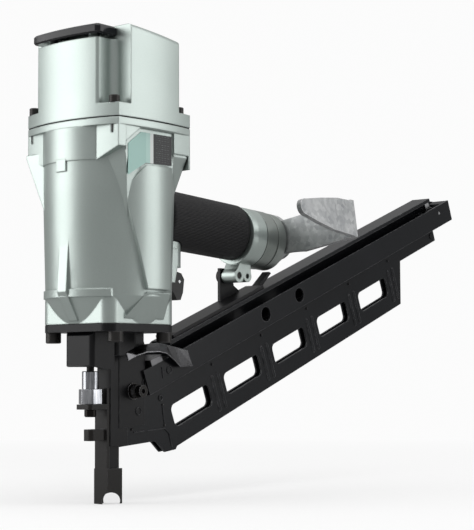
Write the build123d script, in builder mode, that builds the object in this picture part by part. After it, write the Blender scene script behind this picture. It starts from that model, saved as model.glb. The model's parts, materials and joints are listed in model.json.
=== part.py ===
from build123d import *
from math import cos, radians, sin
import os

os.makedirs("parts", exist_ok=True)

# Pneumatic strip nailer. Millimetres, +Z up. The drive axis is the Z axis and the tip of the
# contact foot is at Z = 0. +X points to the handle and the rear of the magazine, -Y is the
# side with the rating label.

# ---- levels along the drive axis ----
NOSE_TIP = 17.0
NOSE_PLATE_Z = 136.4
FLANGE_Z = 142.8
SCOOP_TOP_Z = 164.0
LEDGE_TOP_Z = 169.5
BLOCK_Z = 268.5
COLLAR_Z = 296.3
HOUSING_TOP = 301.8
CAP_Z = 302.8
NOTCH_Z = 313.2
SHELF_Z = 366.0
CAP_TOP = 377.0

# ---- body ----
FLANGE_W = 78.0
FLANGE_R = 10.0
BARREL_R_LOW = 50.8
BARREL_R = 53.0
LEDGE_R = 52.2
RIB_NEAR_Y = -6.7
RIB_FAR_Y = 3.5
BLOCK_X = -2.9
BLOCK_HALF_X = 41.4
BLOCK_HALF_Y = 51.4
BULGE_X = 10.0
BULGE_Y = 3.4
POST_INNER_Y = 29.5       # inner edge of the two front corner posts
GUSSET_INSET = 0.6
GUSSET_FOOT_Z = 222.0
CHAMBER_R = 46.3
LABEL_Y = 50.8
FLOOR_Z = 152.0

# ---- drive train ----
LINER_OUT = 39.0
LINER_IN = 35.0
LINER_TOP = 281.0
PISTON_BOTTOM = 262.0
PISTON_T = 14.0
PISTON_STROKE = 98.0
BLADE_R = 3.8
BLADE_TIP = 110.0
CHANNEL_R = 4.2
BUMPER_TOP = PISTON_BOTTOM - PISTON_STROKE - 0.4
VALVE_Z = LINER_TOP + 0.3
VALVE_SKIRT_TOP = 306.0
VALVE_BORE_R = 37.4
CAP_CEILING = 330.0

# ---- cap ----
NOTCH_FRONT_X = -29.3
NOTCH_REAR_X = 26.0
NOTCH_Y = 34.5
CAP_BOLT_X = 37.0
CAP_BOLT_Y = 45.4
DEFLECTOR_Z = 368.6
DEFLECTOR_TOP = 376.0
DEFLECTOR_SCREW_X = -41.0

# ---- nose ----
NOSE_BOLT_X = 27.8
NOSE_BOLT_Y = 35.0
COVER_FRONT_X = -34.0
COVER_HALF_Y = 15.6
ADJUSTER_X = -20.5
EYE_Z = 75.3
EYE_T = 4.0
ARM_FRONT_X = -8.6
ARM_BACK_X = -5.6
FOOT_HALF_Y = 7.6
FOOT_WALL = 1.7
FOOT_REAR_X = 8.0
FOOT_TOP = 28.0

# ---- handle ----
HANDLE_SLOPE = 3.5        # degrees below the horizontal
HANDLE_Z = 238.0          # height of the handle axis where it crosses the drive axis
TUBE_RY = 17.5
TUBE_RZ = 21.5
GRIP_RY = 21.0
GRIP_RZ = 24.8
GRIP_START = 58.0
GRIP_END = 157.0
END_RY = 25.0
END_RZ = 26.5
END_DROP = 2.5            # the end fittings sit a little below the handle axis
END_FLANGE_END = 175.5
END_CAP_START = 176.3
END_CAP_END = 204.5
BOSS_R = 16.5
END_BOLT_R = 20.3
BOSS_END = 224.0
INLET_R = 7.35            # 3/8 in pipe thread, minor radius
INLET_DEPTH = 16.0
LUG_X = 156.0
LUG_Z = 190.0
LUG_PITCH = 11.3

# ---- hook ----
HOOK_TILT = 10.0          # rest position above the horizontal
HOOK_T = 5.0
HOOK_REACH = 97.0
HOOK_HUB_R = 23.5

# ---- trigger group ----
TRIGGER_PIN_X = 60.0
TRIGGER_PIN_Z = 184.0
VALVE_X = 68.0
BUSHING_Z = 193.0
BUSHING_TOP = 213.0
PLUNGER_TIP = 189.2
LEVER_PIN_X = 77.0
LEVER_PIN_Z = 181.0

# ---- magazine, in its own frame: s along it, t across it ----
MAG_ANGLE = 21.0
MAG_BOTTOM_T = 12.0
PLATE_OUT = 3.9
PLATE_IN = 2.3
PLATE_TOP_T = 66.4
CHANNEL_T0 = 66.5
CHANNEL_T1 = 88.0
CHANNEL_HALF = 10.5
CHANNEL_WALL = 1.8
RAIL_T0 = 96.5
RAIL_T1 = 100.0
CHANNEL_S0 = 66.0
CHANNEL_S1 = 572.0
RAIL_S0 = 104.0
RAIL_S1 = 537.0
WINDOW_S0 = 92.0
WINDOW_L = 52.0
WINDOW_T0 = 27.0
WINDOW_H = 19.5
WINDOW_PITCH = 73.17
WINDOWS = 5
PANEL_REAR_X = 419.0
LEDGE_T = 53.0
LEDGE_S1 = 541.0
PORT_R = 6.6
PORT_S = (233.7, 287.0)
PORT_T = 77.9
SCREW_X = 19.9
SCREW_Z = 89.4

LINK_Z = 109.0
RING_START = 210.5
STOPPER_S = 550.0
STOPPER_T = 80.0

# ---- frames ----
c_mag = cos(radians(MAG_ANGLE))
s_mag = sin(radians(MAG_ANGLE))
MAG = Plane(origin=(0, 0, 0), x_dir=(c_mag, 0, s_mag), z_dir=(0, -1, 0))
SIDE = Plane(origin=(0, 0, 0), x_dir=(1, 0, 0), z_dir=(0, -1, 0))
c_hnd = cos(radians(HANDLE_SLOPE))
s_hnd = sin(radians(HANDLE_SLOPE))
HANDLE = Plane(origin=(0, 0, HANDLE_Z), x_dir=(0, 1, 0), z_dir=(c_hnd, 0, -s_hnd))
c_hook = cos(radians(HOOK_TILT))
s_hook = sin(radians(HOOK_TILT))
HOOK = Plane(
    origin=HANDLE.offset(END_CAP_END + 0.5 + HOOK_T).origin,
    x_dir=(s_hook * s_hnd, -c_hook, s_hook * c_hnd),
    z_dir=(-c_hnd, 0, s_hnd),
)
FLAP = Plane(
    origin=HOOK.from_local_coords((HOOK_REACH, 0, 0)),
    x_dir=HOOK.z_dir,
    z_dir=-HOOK.x_dir,
)

pieces = {}


def along_magazine(x, z):
    """Turn a side-view point into magazine coordinates (s, t)."""
    return (x * c_mag + z * s_mag, z * c_mag - x * s_mag)


def bulged_outline(grow=0.0, share=1.0):
    """Outline with four arched sides, centred on the head; share scales the arches."""
    hx = BLOCK_HALF_X + grow
    hy = BLOCK_HALF_Y + grow
    bx = BULGE_X * share
    by = BULGE_Y * share
    with BuildLine() as outline:
        ThreePointArc((-hx, -hy), (0, -hy - by), (hx, -hy))
        ThreePointArc((hx, -hy), (hx + bx, 0), (hx, hy))
        ThreePointArc((hx, hy), (0, hy + by), (-hx, hy))
        ThreePointArc((-hx, hy), (-hx - bx, 0), (-hx, -hy))
    return outline.line


def spring(radius, wire, turns, z0, z1, x=0.0, y=0.0):
    """Compression spring standing between two levels."""
    height = z1 - z0 - 2 * wire
    with BuildPart() as coil:
        with BuildLine(Plane.XY.offset(z0 + wire)) as path:
            Helix(pitch=height / turns, height=height, radius=radius)
        with BuildSketch(Plane(origin=path.line @ 0, z_dir=path.line % 0)):
            Circle(wire)
        sweep()
    return Pos(x, y, 0) * coil.part


def socket_screw(head_r, head_h, shank_r, shank_l):
    """Cap screw standing on its shank: head from 0 up, shank from 0 down."""
    with BuildPart(mode=Mode.PRIVATE) as screw:
        with BuildSketch():
            Circle(head_r)
        extrude(amount=head_h)
        chamfer(screw.edges().group_by(Axis.Z)[-1], head_r * 0.12)
        with BuildSketch():
            Circle(shank_r)
        extrude(amount=-shank_l)
        with BuildSketch(Plane.XY.offset(head_h)):
            RegularPolygon(radius=head_r * 0.56, side_count=6)
        extrude(amount=-head_h * 0.6, mode=Mode.SUBTRACT)
    return screw.part


# ================= body =================
# side boss that carries the label: its front facet runs back into the barrel
with BuildPart() as side_boss:
    with BuildSketch(Plane.XY.offset(222)):
        with BuildLine():
            Polyline((-25.2, -45.5), (-29.1, -35.9), (-35.4, -20), (22, -20), (22, -45.5), close=True)
        make_face()
    with BuildSketch(Plane.XY.offset(277)):
        with BuildLine():
            Polyline((-33.5, -51.4), (-39.7, -35.9), (-46, -20), (22, -20), (22, -51.4), close=True)
        make_face()
    loft(ruled=True)
    with BuildSketch(Plane.XY.offset(277)):
        with BuildLine():
            Polyline((-33.5, -52.0), (-39.7, -35.9), (-42, -20), (22, -20), (22, -52.0), close=True)
        make_face()
    extrude(amount=COLLAR_Z - 277)

# tapered panel below the label, following the barrel
with BuildPart() as side_panel:
    with BuildSketch(Plane.XY.offset(LEDGE_TOP_Z)):
        Circle(BARREL_R + 1.6)
    extrude(amount=268.0 - LEDGE_TOP_Z)
    with BuildSketch(Plane.XZ.offset(20)):
        with BuildLine():
            Polyline(
                (-30.0, 247.5),
                (-12.0, 266.5),
                (20.5, 267.5),
                (17.5, LEDGE_TOP_Z),
                (-10.4, LEDGE_TOP_Z),
                close=True,
            )
        make_face()
    extrude(amount=60, mode=Mode.INTERSECT)

# wedge under the panel, down to the bottom flange
with BuildPart() as side_wedge:
    with BuildSketch(Plane.XY.offset(SCOOP_TOP_Z + 3)):
        with Locations((4.0, -40.0)):
            Rectangle(27, 23.4)
    with BuildSketch(Plane.XY.offset(FLANGE_Z + 4)):
        with Locations((0.0, -34.0)):
            Rectangle(45, 11.5)
    loft(ruled=True)

# root of the handle, between the barrel and the grip
with BuildPart() as handle_root:
    with BuildSketch(HANDLE.offset(34)):
        Ellipse(27, 33)
    with BuildSketch(HANDLE.offset(GRIP_START - 0.5)):
        Ellipse(TUBE_RY + 0.6, TUBE_RZ + 0.6)
    loft(ruled=True)

with BuildPart() as main_housing:
    # barrel: scoop at the bottom, slightly tapered above it
    with BuildSketch(Plane.XZ):
        with BuildLine():
            Polyline(
                (0, FLANGE_Z),
                (39.3, FLANGE_Z),
                (BARREL_R_LOW, SCOOP_TOP_Z),
                (BARREL_R, BLOCK_Z - 20),
                (BARREL_R, COLLAR_Z),
                (0, COLLAR_Z),
                close=True,
            )
        make_face()
    revolve(axis=Axis.Z)
    # square bottom flange
    with BuildSketch(Plane.XY.offset(FLANGE_Z)):
        RectangleRounded(FLANGE_W, FLANGE_W, FLANGE_R)
    extrude(amount=SCOOP_TOP_Z - FLANGE_Z)
    # ledge over the front scoop, with a rib above and below it
    with BuildSketch(Plane.XY.offset(SCOOP_TOP_Z - 0.8)):
        Circle(LEDGE_R)
        with Locations((-30, 0)):
            Rectangle(60, 76, mode=Mode.INTERSECT)
    extrude(amount=LEDGE_TOP_Z - SCOOP_TOP_Z + 0.8)
    with BuildSketch(SIDE.offset(-RIB_FAR_Y)):
        with BuildLine():
            Polyline(
                (-48, 212),
                (-51.2, 212),
                (-54.0, LEDGE_TOP_Z - 2),
                (-50.6, SCOOP_TOP_Z - 3),
                (-41.2, 145),
                (-30, 145),
                close=True,
            )
        make_face()
    extrude(amount=RIB_FAR_Y - RIB_NEAR_Y)
    # barrel is a little larger above the seam, with a short tab at the front
    with BuildSketch(Plane.XY.offset(270.0)):
        Circle(BARREL_R + 0.8)
        with Locations((-30, 0)):
            Rectangle(60, 60, mode=Mode.INTERSECT)
    extrude(amount=COLLAR_Z - 270.0)
    with BuildSketch(Plane.XY.offset(262.0)):
        Circle(BARREL_R + 1.1)
        with Locations((-30, 0)):
            Rectangle(60, 11.0, mode=Mode.INTERSECT)
    extrude(amount=9.5)
    # square head, left open between the two front posts
    with BuildSketch(Plane.XY.offset(BLOCK_Z)):
        with Locations((BLOCK_X, 0)):
            make_face(bulged_outline(0.0, 0.45))
        with Locations((BLOCK_X - BLOCK_HALF_X, 0)):
            Rectangle(24, 2 * POST_INNER_Y, mode=Mode.SUBTRACT)
    extrude(amount=COLLAR_Z - BLOCK_Z)
    # undersides of the posts rise towards the corners
    for side in (-1, 1):
        with BuildSketch(Plane.YZ.offset(BLOCK_X - BLOCK_HALF_X - 1)):
            with BuildLine():
                Polyline(
                    (side * 28.0, BLOCK_Z - 1),
                    (side * 28.0, BLOCK_Z),
                    (side * BLOCK_HALF_Y, BLOCK_Z + 11.0),
                    (side * (BLOCK_HALF_Y + 2), BLOCK_Z + 11.0),
                    (side * (BLOCK_HALF_Y + 2), BLOCK_Z - 1),
                    close=True,
                )
            make_face()
        extrude(amount=2 * BLOCK_HALF_X + 2, mode=Mode.SUBTRACT)
    with BuildSketch(Plane.XY.offset(BLOCK_Z - 1)):
        Circle(BARREL_R)
    extrude(amount=COLLAR_Z - BLOCK_Z + 1)
    # gussets run from three corners of the head down into the barrel
    for front, side in ((-1, 1), (1, 1), (1, -1)):
        gusset_x = BLOCK_X + front * (BLOCK_HALF_X - GUSSET_INSET)
        with BuildSketch(Plane.YZ.offset(gusset_x)):
            with BuildLine():
                Polyline(
                    (side * 12.0, BLOCK_Z + 12),
                    (side * (BLOCK_HALF_Y - GUSSET_INSET), BLOCK_Z + 12),
                    (side * (BLOCK_HALF_Y - GUSSET_INSET), BLOCK_Z + 9),
                    (side * 24.0, GUSSET_FOOT_Z),
                    (side * 12.0, GUSSET_FOOT_Z),
                    close=True,
                )
            make_face()
        extrude(amount=-front * 30)
    add(side_boss.part)
    add(side_panel.part)
    add(side_wedge.part)
    add(handle_root.part)
    # collar under the parting line
    with BuildSketch(Plane.XY.offset(COLLAR_Z)):
        with Locations((BLOCK_X, 0)):
            make_face(bulged_outline())
    extrude(amount=HOUSING_TOP - COLLAR_Z)
    # handle tube and its end flange
    with BuildSketch(HANDLE.offset(40)):
        Ellipse(TUBE_RY, TUBE_RZ)
    extrude(amount=GRIP_END + 6 - 40)
    with BuildSketch(HANDLE.offset(GRIP_END + 0.3)):
        with Locations((0, -END_DROP)):
            Ellipse(END_RY - 0.8, END_RZ - 0.8)
    with BuildSketch(HANDLE.offset(GRIP_END + 6)):
        with Locations((0, -END_DROP)):
            Ellipse(END_RY, END_RZ)
    with BuildSketch(HANDLE.offset(END_FLANGE_END)):
        with Locations((0, -END_DROP)):
            Ellipse(END_RY, END_RZ)
    loft(ruled=True)
    # two lugs under the handle end hold the magazine
    with BuildSketch(SIDE):
        with Locations((LUG_X, LUG_Z)):
            Circle(6.3)
        with Locations((LUG_X + LUG_PITCH, LUG_Z)):
            Circle(5.4)
        with BuildLine():
            Polyline(
                (LUG_X - 5.5, LUG_Z),
                (LUG_X + 1.2, LUG_Z + 13),
                (LUG_X + 1.2, LUG_Z + 16),
                (LUG_X + 15.5, LUG_Z + 16),
                (LUG_X + LUG_PITCH + 4.6, LUG_Z),
                close=True,
            )
        make_face()
    extrude(amount=8.0, both=True)
    # boss for the trigger valve and two ears for the trigger pin
    with BuildSketch(Plane.XY.offset(BUSHING_Z - 0.5)):
        with Locations((VALVE_X - 6, 0)):
            SlotOverall(38, 24)
    extrude(amount=24)
    with BuildSketch(SIDE):
        with BuildLine():
            Polyline((44, 208), (70, 208), (70, 196), (66, 179.5), (55, 179.5), (44, 186), close=True)
        make_face()
    extrude(amount=12.5, both=True)
    with BuildSketch(SIDE):
        with Locations((75.2, 184)):
            Rectangle(44, 17.6)
    extrude(amount=9.0, both=True, mode=Mode.SUBTRACT)
    # inside: barrel chamber, floor hole, air passage in the handle
    with BuildSketch(Plane.XY.offset(FLOOR_Z)):
        Circle(39.6)
    extrude(amount=20, mode=Mode.SUBTRACT)
    with BuildSketch(Plane.XY.offset(FLOOR_Z + 20)):
        Circle(CHAMBER_R)
    extrude(amount=HOUSING_TOP - FLOOR_Z, mode=Mode.SUBTRACT)
    with BuildSketch(Plane.XY.offset(FLANGE_Z - 1)):
        Circle(11.2)
    extrude(amount=30, mode=Mode.SUBTRACT)
    with BuildSketch(HANDLE.offset(40)):
        Ellipse(TUBE_RY - 4, TUBE_RZ - 4)
    extrude(amount=END_FLANGE_END, mode=Mode.SUBTRACT)
    # valve seat, pin hole, lug holes, flange and cap bolt holes
    with BuildSketch(Plane.XY.offset(BUSHING_Z - 1)):
        with Locations((VALVE_X, 0)):
            Circle(8.05)
    extrude(amount=BUSHING_TOP - BUSHING_Z + 1.3, mode=Mode.SUBTRACT)
    with BuildSketch(SIDE):
        with Locations((TRIGGER_PIN_X, TRIGGER_PIN_Z)):
            Circle(2.05)
    extrude(amount=14, both=True, mode=Mode.SUBTRACT)
    with BuildSketch(SIDE):
        with Locations((LUG_X, LUG_Z)):
            Circle(3.05)
    extrude(amount=9, both=True, mode=Mode.SUBTRACT)
    with BuildSketch(SIDE.offset(9)):
        with Locations((LUG_X + LUG_PITCH, LUG_Z)):
            Circle(2.2)
    extrude(amount=-10, mode=Mode.SUBTRACT)
    with BuildSketch(Plane.XY.offset(FLANGE_Z - 1)):
        with GridLocations(2 * NOSE_BOLT_X, 2 * NOSE_BOLT_Y, 2, 2):
            Circle(3.05)
    extrude(amount=13, mode=Mode.SUBTRACT)
    with BuildSketch(Plane.XY.offset(HOUSING_TOP - 12)):
        with Locations((BLOCK_X, 0)):
            with GridLocations(2 * CAP_BOLT_X, 2 * CAP_BOLT_Y, 2, 2):
                Circle(2.55)
    extrude(amount=13, mode=Mode.SUBTRACT)
    with BuildSketch(HANDLE.offset(END_FLANGE_END + 1)):
        with Locations((0, -END_DROP)):
            with PolarLocations(END_BOLT_R, 4, start_angle=45):
                Circle(1.65)
    extrude(amount=-9, mode=Mode.SUBTRACT)
    # recess for the label
    with BuildSketch(Plane.XZ.offset(LABEL_Y)):
        with BuildLine():
            Polyline(
                (-33.5, 254.0),
                (-33.5, 283.5),
                (-18.0, 295.6),
                (21.0, 295.6),
                (21.0, 268.6),
                (-10.5, 268.0),
                close=True,
            )
        make_face()
    extrude(amount=6, mode=Mode.SUBTRACT)
pieces["main_housing"] = main_housing

with BuildPart() as rating_label:
    with BuildSketch(Plane.XZ.offset(LABEL_Y)):
        with BuildLine():
            Polyline(
                (-30.4, 257.6),
                (-30.4, 282.2),
                (-16.0, 292.6),
                (19.4, 292.9),
                (19.4, 269.4),
                (-10.8, 268.8),
                close=True,
            )
        make_face()
    extrude(amount=0.5)
pieces["rating_label"] = rating_label

with BuildPart() as cap_gasket:
    with BuildSketch(Plane.XY.offset(HOUSING_TOP)):
        with Locations((BLOCK_X, 0)):
            make_face(bulged_outline(-0.4))
        Circle(CHAMBER_R, mode=Mode.SUBTRACT)
        with Locations((BLOCK_X, 0)):
            with GridLocations(2 * CAP_BOLT_X, 2 * CAP_BOLT_Y, 2, 2):
                Circle(2.6, mode=Mode.SUBTRACT)
    extrude(amount=CAP_Z - HOUSING_TOP)
pieces["cap_gasket"] = cap_gasket

with BuildPart() as exhaust_cap:
    with BuildSketch(Plane.XY.offset(CAP_Z)):
        with Locations((BLOCK_X, 0)):
            make_face(bulged_outline())
    extrude(amount=CAP_TOP - CAP_Z)
    # top slopes down towards the rear
    with BuildSketch(SIDE):
        with BuildLine():
            Polyline((-31, CAP_TOP), (31, CAP_TOP - 6), (60, CAP_TOP - 14), (60, 400), (-31, 400), close=True)
        make_face()
    extrude(amount=80, both=True, mode=Mode.SUBTRACT)
    fillet(exhaust_cap.faces().filter_by(Axis.Z, reverse=True).sort_by(Axis.Z)[-2:].edges(), 3.5)
    # stepped corners for the bolts
    for x0, x1 in ((-70, NOTCH_FRONT_X), (NOTCH_REAR_X, 70)):
        for side in (-1, 1):
            with BuildSketch(Plane.XY.offset(NOTCH_Z)):
                with Locations(((x0 + x1) / 2, side * (NOTCH_Y + 20))):
                    RectangleRounded(x1 - x0, 40, 6)
            extrude(amount=80, mode=Mode.SUBTRACT)
    # shelf and exhaust slot under the deflector
    with BuildSketch(Plane.XY.offset(SHELF_Z)):
        with Locations((-60, 0)):
            Rectangle(2 * (60 + NOTCH_FRONT_X), 120)
    extrude(amount=30, mode=Mode.SUBTRACT)
    upright = exhaust_cap.edges().filter_by(Axis.Z)
    fillet(upright.filter_by(lambda e: e.center().X < -40 and e.length > 40), 3.0)
    with BuildSketch(Plane.XY.offset(SHELF_Z)):
        with Locations((DEFLECTOR_SCREW_X, 0)):
            with GridLocations(0, 46, 1, 2):
                Circle(4.0)
    extrude(amount=DEFLECTOR_Z - SHELF_Z)
    with BuildSketch(Plane.XY.offset(CAP_CEILING - 2)):
        with Locations((-39, 0)):
            RectangleRounded(10, 30, 3)
    extrude(amount=60, mode=Mode.SUBTRACT)
    with BuildSketch(Plane.XY.offset(CAP_Z)):
        Circle(VALVE_BORE_R)
    extrude(amount=CAP_CEILING - CAP_Z, mode=Mode.SUBTRACT)
    with BuildSketch(Plane.XY.offset(CAP_CEILING - 8)):
        with Locations((-38, 0)):
            Rectangle(20, 26)
    extrude(amount=8, mode=Mode.SUBTRACT)
    with BuildSketch(Plane.XY.offset(CAP_Z)):
        with Locations((BLOCK_X, 0)):
            with GridLocations(2 * CAP_BOLT_X, 2 * CAP_BOLT_Y, 2, 2):
                Circle(2.6)
    extrude(amount=NOTCH_Z - CAP_Z, mode=Mode.SUBTRACT)
    with BuildSketch(Plane.XY.offset(SHELF_Z - 12)):
        with Locations((DEFLECTOR_SCREW_X, 0)):
            with GridLocations(0, 46, 1, 2):
                Circle(2.05)
    extrude(amount=20, mode=Mode.SUBTRACT)
pieces["exhaust_cap"] = exhaust_cap

with BuildPart() as exhaust_deflector:
    with BuildSketch(Plane.XY.offset(DEFLECTOR_Z)):
        with BuildLine():
            Polyline((-50.0, 37.5), (-29.6, 37.5), (-29.6, -37.5), (-50.0, -37.5))
            ThreePointArc((-50.0, -37.5), (-53.2, 0), (-50.0, 37.5))
        make_face()
    extrude(amount=DEFLECTOR_TOP - DEFLECTOR_Z)
    fillet(exhaust_deflector.edges().filter_by(Axis.Z).sort_by(Axis.X)[:2], 4.0)
    chamfer(exhaust_deflector.edges().group_by(Axis.Z)[-1], 1.6)
    chamfer(exhaust_deflector.edges().group_by(Axis.Z)[0], 1.2)
    with BuildSketch(Plane.XY.offset(DEFLECTOR_TOP + 1)):
        with Locations((DEFLECTOR_SCREW_X, 0)):
            with GridLocations(0, 46, 1, 2):
                Circle(2.3)
    extrude(amount=-20, mode=Mode.SUBTRACT)
    with BuildSketch(Plane.XY.offset(DEFLECTOR_TOP + 1)):
        with Locations((DEFLECTOR_SCREW_X, 0)):
            with GridLocations(0, 46, 1, 2):
                Circle(4.4)
    extrude(amount=-4.6, mode=Mode.SUBTRACT)
pieces["exhaust_deflector"] = exhaust_deflector

deflector_screw = socket_screw(4.2, 3.0, 2.0, 14.0)
with BuildPart() as deflector_screws:
    for y in (-23, 23):
        add(Pos(DEFLECTOR_SCREW_X, y, DEFLECTOR_TOP - 3.6) * deflector_screw)
pieces["deflector_screws"] = deflector_screws

cap_bolt = socket_screw(4.2, 6.0, 2.5, 22.0)
with BuildPart() as cap_bolts:
    for x in (-CAP_BOLT_X, CAP_BOLT_X):
        for y in (-CAP_BOLT_Y, CAP_BOLT_Y):
            add(Pos(BLOCK_X + x, y, NOTCH_Z) * cap_bolt)
pieces["cap_bolts"] = cap_bolts

# ================= drive train =================
with BuildPart() as cylinder_liner:
    with BuildSketch(Plane.XY.offset(FLOOR_Z)):
        Circle(LINER_OUT)
        Circle(LINER_IN, mode=Mode.SUBTRACT)
    extrude(amount=LINER_TOP - FLOOR_Z)
    with BuildSketch(Plane.XY.offset(232)):
        Circle(CHAMBER_R - 1.8)
        Circle(LINER_IN, mode=Mode.SUBTRACT)
    extrude(amount=7)
pieces["cylinder_liner"] = cylinder_liner

with BuildPart() as liner_seal:
    with BuildSketch(Plane.XY.offset(234)):
        Circle(CHAMBER_R - 0.1)
        Circle(CHAMBER_R - 1.7, mode=Mode.SUBTRACT)
    extrude(amount=3)
pieces["liner_seal"] = liner_seal

with BuildPart() as piston:
    with BuildSketch(Plane.XY.offset(PISTON_BOTTOM)):
        Circle(34.4)
    extrude(amount=PISTON_T)
    with BuildSketch(Plane.XY.offset(PISTON_BOTTOM + 5)):
        Circle(35)
        Circle(32.4, mode=Mode.SUBTRACT)
    extrude(amount=4, mode=Mode.SUBTRACT)
    with BuildSketch(Plane.XY.offset(PISTON_BOTTOM + 8)):
        Circle(22)
    extrude(amount=PISTON_T, mode=Mode.SUBTRACT)
    with BuildSketch(Plane.XY.offset(PISTON_BOTTOM + PISTON_T / 2)):
        Circle(7)
    extrude(amount=-PISTON_T / 2, mode=Mode.SUBTRACT)
pieces["piston"] = piston

with BuildPart() as piston_ring:
    with BuildSketch(Plane.XY.offset(PISTON_BOTTOM + 5.1)):
        Circle(34.94)
        Circle(32.5, mode=Mode.SUBTRACT)
    extrude(amount=3.8)
pieces["piston_ring"] = piston_ring

with BuildPart() as driver_blade:
    with BuildSketch(Plane.XY.offset(BLADE_TIP)):
        Circle(BLADE_R)
    extrude(amount=PISTON_BOTTOM - BLADE_TIP)
    with BuildSketch(Plane.XY.offset(PISTON_BOTTOM)):
        Circle(6.9)
    extrude(amount=PISTON_T / 2)
pieces["driver_blade"] = driver_blade

with BuildPart() as piston_bumper:
    with BuildSketch(Plane.XY.offset(FLOOR_Z)):
        Circle(34.8)
        Circle(6.0, mode=Mode.SUBTRACT)
    extrude(amount=BUMPER_TOP - FLOOR_Z)
    chamfer(piston_bumper.edges().group_by(Axis.Z)[-1], 1.5)
pieces["piston_bumper"] = piston_bumper

with BuildPart() as head_valve:
    with BuildSketch(Plane.XY.offset(VALVE_Z)):
        Circle(44.0)
        Circle(26.0, mode=Mode.SUBTRACT)
    extrude(amount=8)
    with BuildSketch(Plane.XY.offset(VALVE_Z + 8)):
        Circle(VALVE_BORE_R - 0.35)
        Circle(26.0, mode=Mode.SUBTRACT)
    extrude(amount=VALVE_SKIRT_TOP - VALVE_Z - 8)
pieces["head_valve"] = head_valve

with BuildPart() as head_valve_spring:
    add(spring(31.5, 1.5, 3, VALVE_SKIRT_TOP, CAP_CEILING))
pieces["head_valve_spring"] = head_valve_spring

# ================= nose =================
with BuildPart() as nose_gasket:
    with BuildSketch(Plane.XY.offset(NOSE_PLATE_Z + 6)):
        RectangleRounded(FLANGE_W - 1, FLANGE_W - 1, FLANGE_R)
        Circle(11.4, mode=Mode.SUBTRACT)
        with GridLocations(2 * NOSE_BOLT_X, 2 * NOSE_BOLT_Y, 2, 2):
            Circle(3.2, mode=Mode.SUBTRACT)
    extrude(amount=FLANGE_Z - NOSE_PLATE_Z - 6)
pieces["nose_gasket"] = nose_gasket

with BuildPart() as nose_body:
    with BuildSketch(Plane.XY.offset(NOSE_PLATE_Z)):
        RectangleRounded(FLANGE_W, FLANGE_W, FLANGE_R)
    extrude(amount=6)
    with BuildSketch(Plane.XY.offset(NOSE_PLATE_Z)):
        Circle(11)
    extrude(amount=FLOOR_Z - 0.4 - NOSE_PLATE_Z)
    # guide column: slim at the tip, wider above the contact foot
    with BuildSketch(Plane.XY.offset(NOSE_TIP)):
        with Locations((0.5, 0)):
            Rectangle(11.6, 11.2)
    extrude(amount=NOSE_PLATE_Z - NOSE_TIP)
    with BuildSketch(Plane.XY.offset(46)):
        with Locations((4.6, 0)):
            Rectangle(19.8, 15.2)
    extrude(amount=NOSE_PLATE_Z - 46)
    with BuildSketch(Plane.XY.offset(118)):
        with Locations((6, 0)):
            RectangleRounded(26, 30, 5)
    extrude(amount=NOSE_PLATE_Z - 118)
    # two rear cheeks take the front of the magazine between them
    with BuildSketch(SIDE):
        with BuildLine():
            Polyline((4, 136.5), (30, 136.5), (34, 126), (34, 62), (14, 60), (4, 60), close=True)
        make_face()
    extrude(amount=8.2, both=True)
    with BuildSketch(SIDE):
        with BuildLine():
            Polyline((6.4, 20), (120, 20), (120, 131), (6.4, 112), close=True)
        make_face()
    extrude(amount=4.3, both=True, mode=Mode.SUBTRACT)
    # drive channel and the slot where nails come in
    with BuildSketch(Plane.XY.offset(NOSE_TIP - 1)):
        Circle(CHANNEL_R)
    extrude(amount=FLOOR_Z, mode=Mode.SUBTRACT)
    with BuildSketch(Plane.XY.offset(40)):
        with Locations((4, 0)):
            Rectangle(8, 7.6)
    extrude(amount=70, mode=Mode.SUBTRACT)
    with BuildSketch(Plane.XY.offset(NOSE_PLATE_Z - 1)):
        with GridLocations(2 * NOSE_BOLT_X, 2 * NOSE_BOLT_Y, 2, 2):
            Circle(3.2)
    extrude(amount=10, mode=Mode.SUBTRACT)
    with BuildSketch(SIDE.offset(10)):
        with Locations((SCREW_X, SCREW_Z)):
            Circle(3.05)
    extrude(amount=-6.2, mode=Mode.SUBTRACT)
pieces["nose_body"] = nose_body

nose_bolt = Rot(180, 0, 0) * socket_screw(6.2, 8.4, 3.0, 16.0)
with BuildPart() as nose_bolts:
    for x in (-NOSE_BOLT_X, NOSE_BOLT_X):
        for y in (-NOSE_BOLT_Y, NOSE_BOLT_Y):
            add(Pos(x, y, NOSE_PLATE_Z) * nose_bolt)
pieces["nose_bolts"] = nose_bolts

with BuildPart() as guide_cover:
    with BuildSketch(SIDE):
        with BuildLine():
            Polyline(
                (COVER_FRONT_X, 110),
                (COVER_FRONT_X, 133.5),
                (-31.0, NOSE_PLATE_Z),
                (-9.2, NOSE_PLATE_Z),
                (-9.2, 107),
                (-20, 107),
                close=True,
            )
        make_face()
    extrude(amount=COVER_HALF_Y, both=True)
    fillet(guide_cover.edges().filter_by(Axis.Z).sort_by(Axis.X)[:2], 4.0)
    with BuildSketch(Plane.XY.offset(100)):
        with Locations(((COVER_FRONT_X - 9.2) / 2 + 1.5, 0)):
            Rectangle(-9.2 - COVER_FRONT_X - 1, 2 * COVER_HALF_Y - 5)
    extrude(amount=133.5 - 100, mode=Mode.SUBTRACT)
    with BuildSketch(SIDE):
        with BuildLine():
            Polyline((-29, 100), (-29, 133.5), (-5, 133.5), (-5, 100), close=True)
        make_face()
    extrude(amount=-20, mode=Mode.SUBTRACT)
pieces["guide_cover"] = guide_cover

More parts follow.
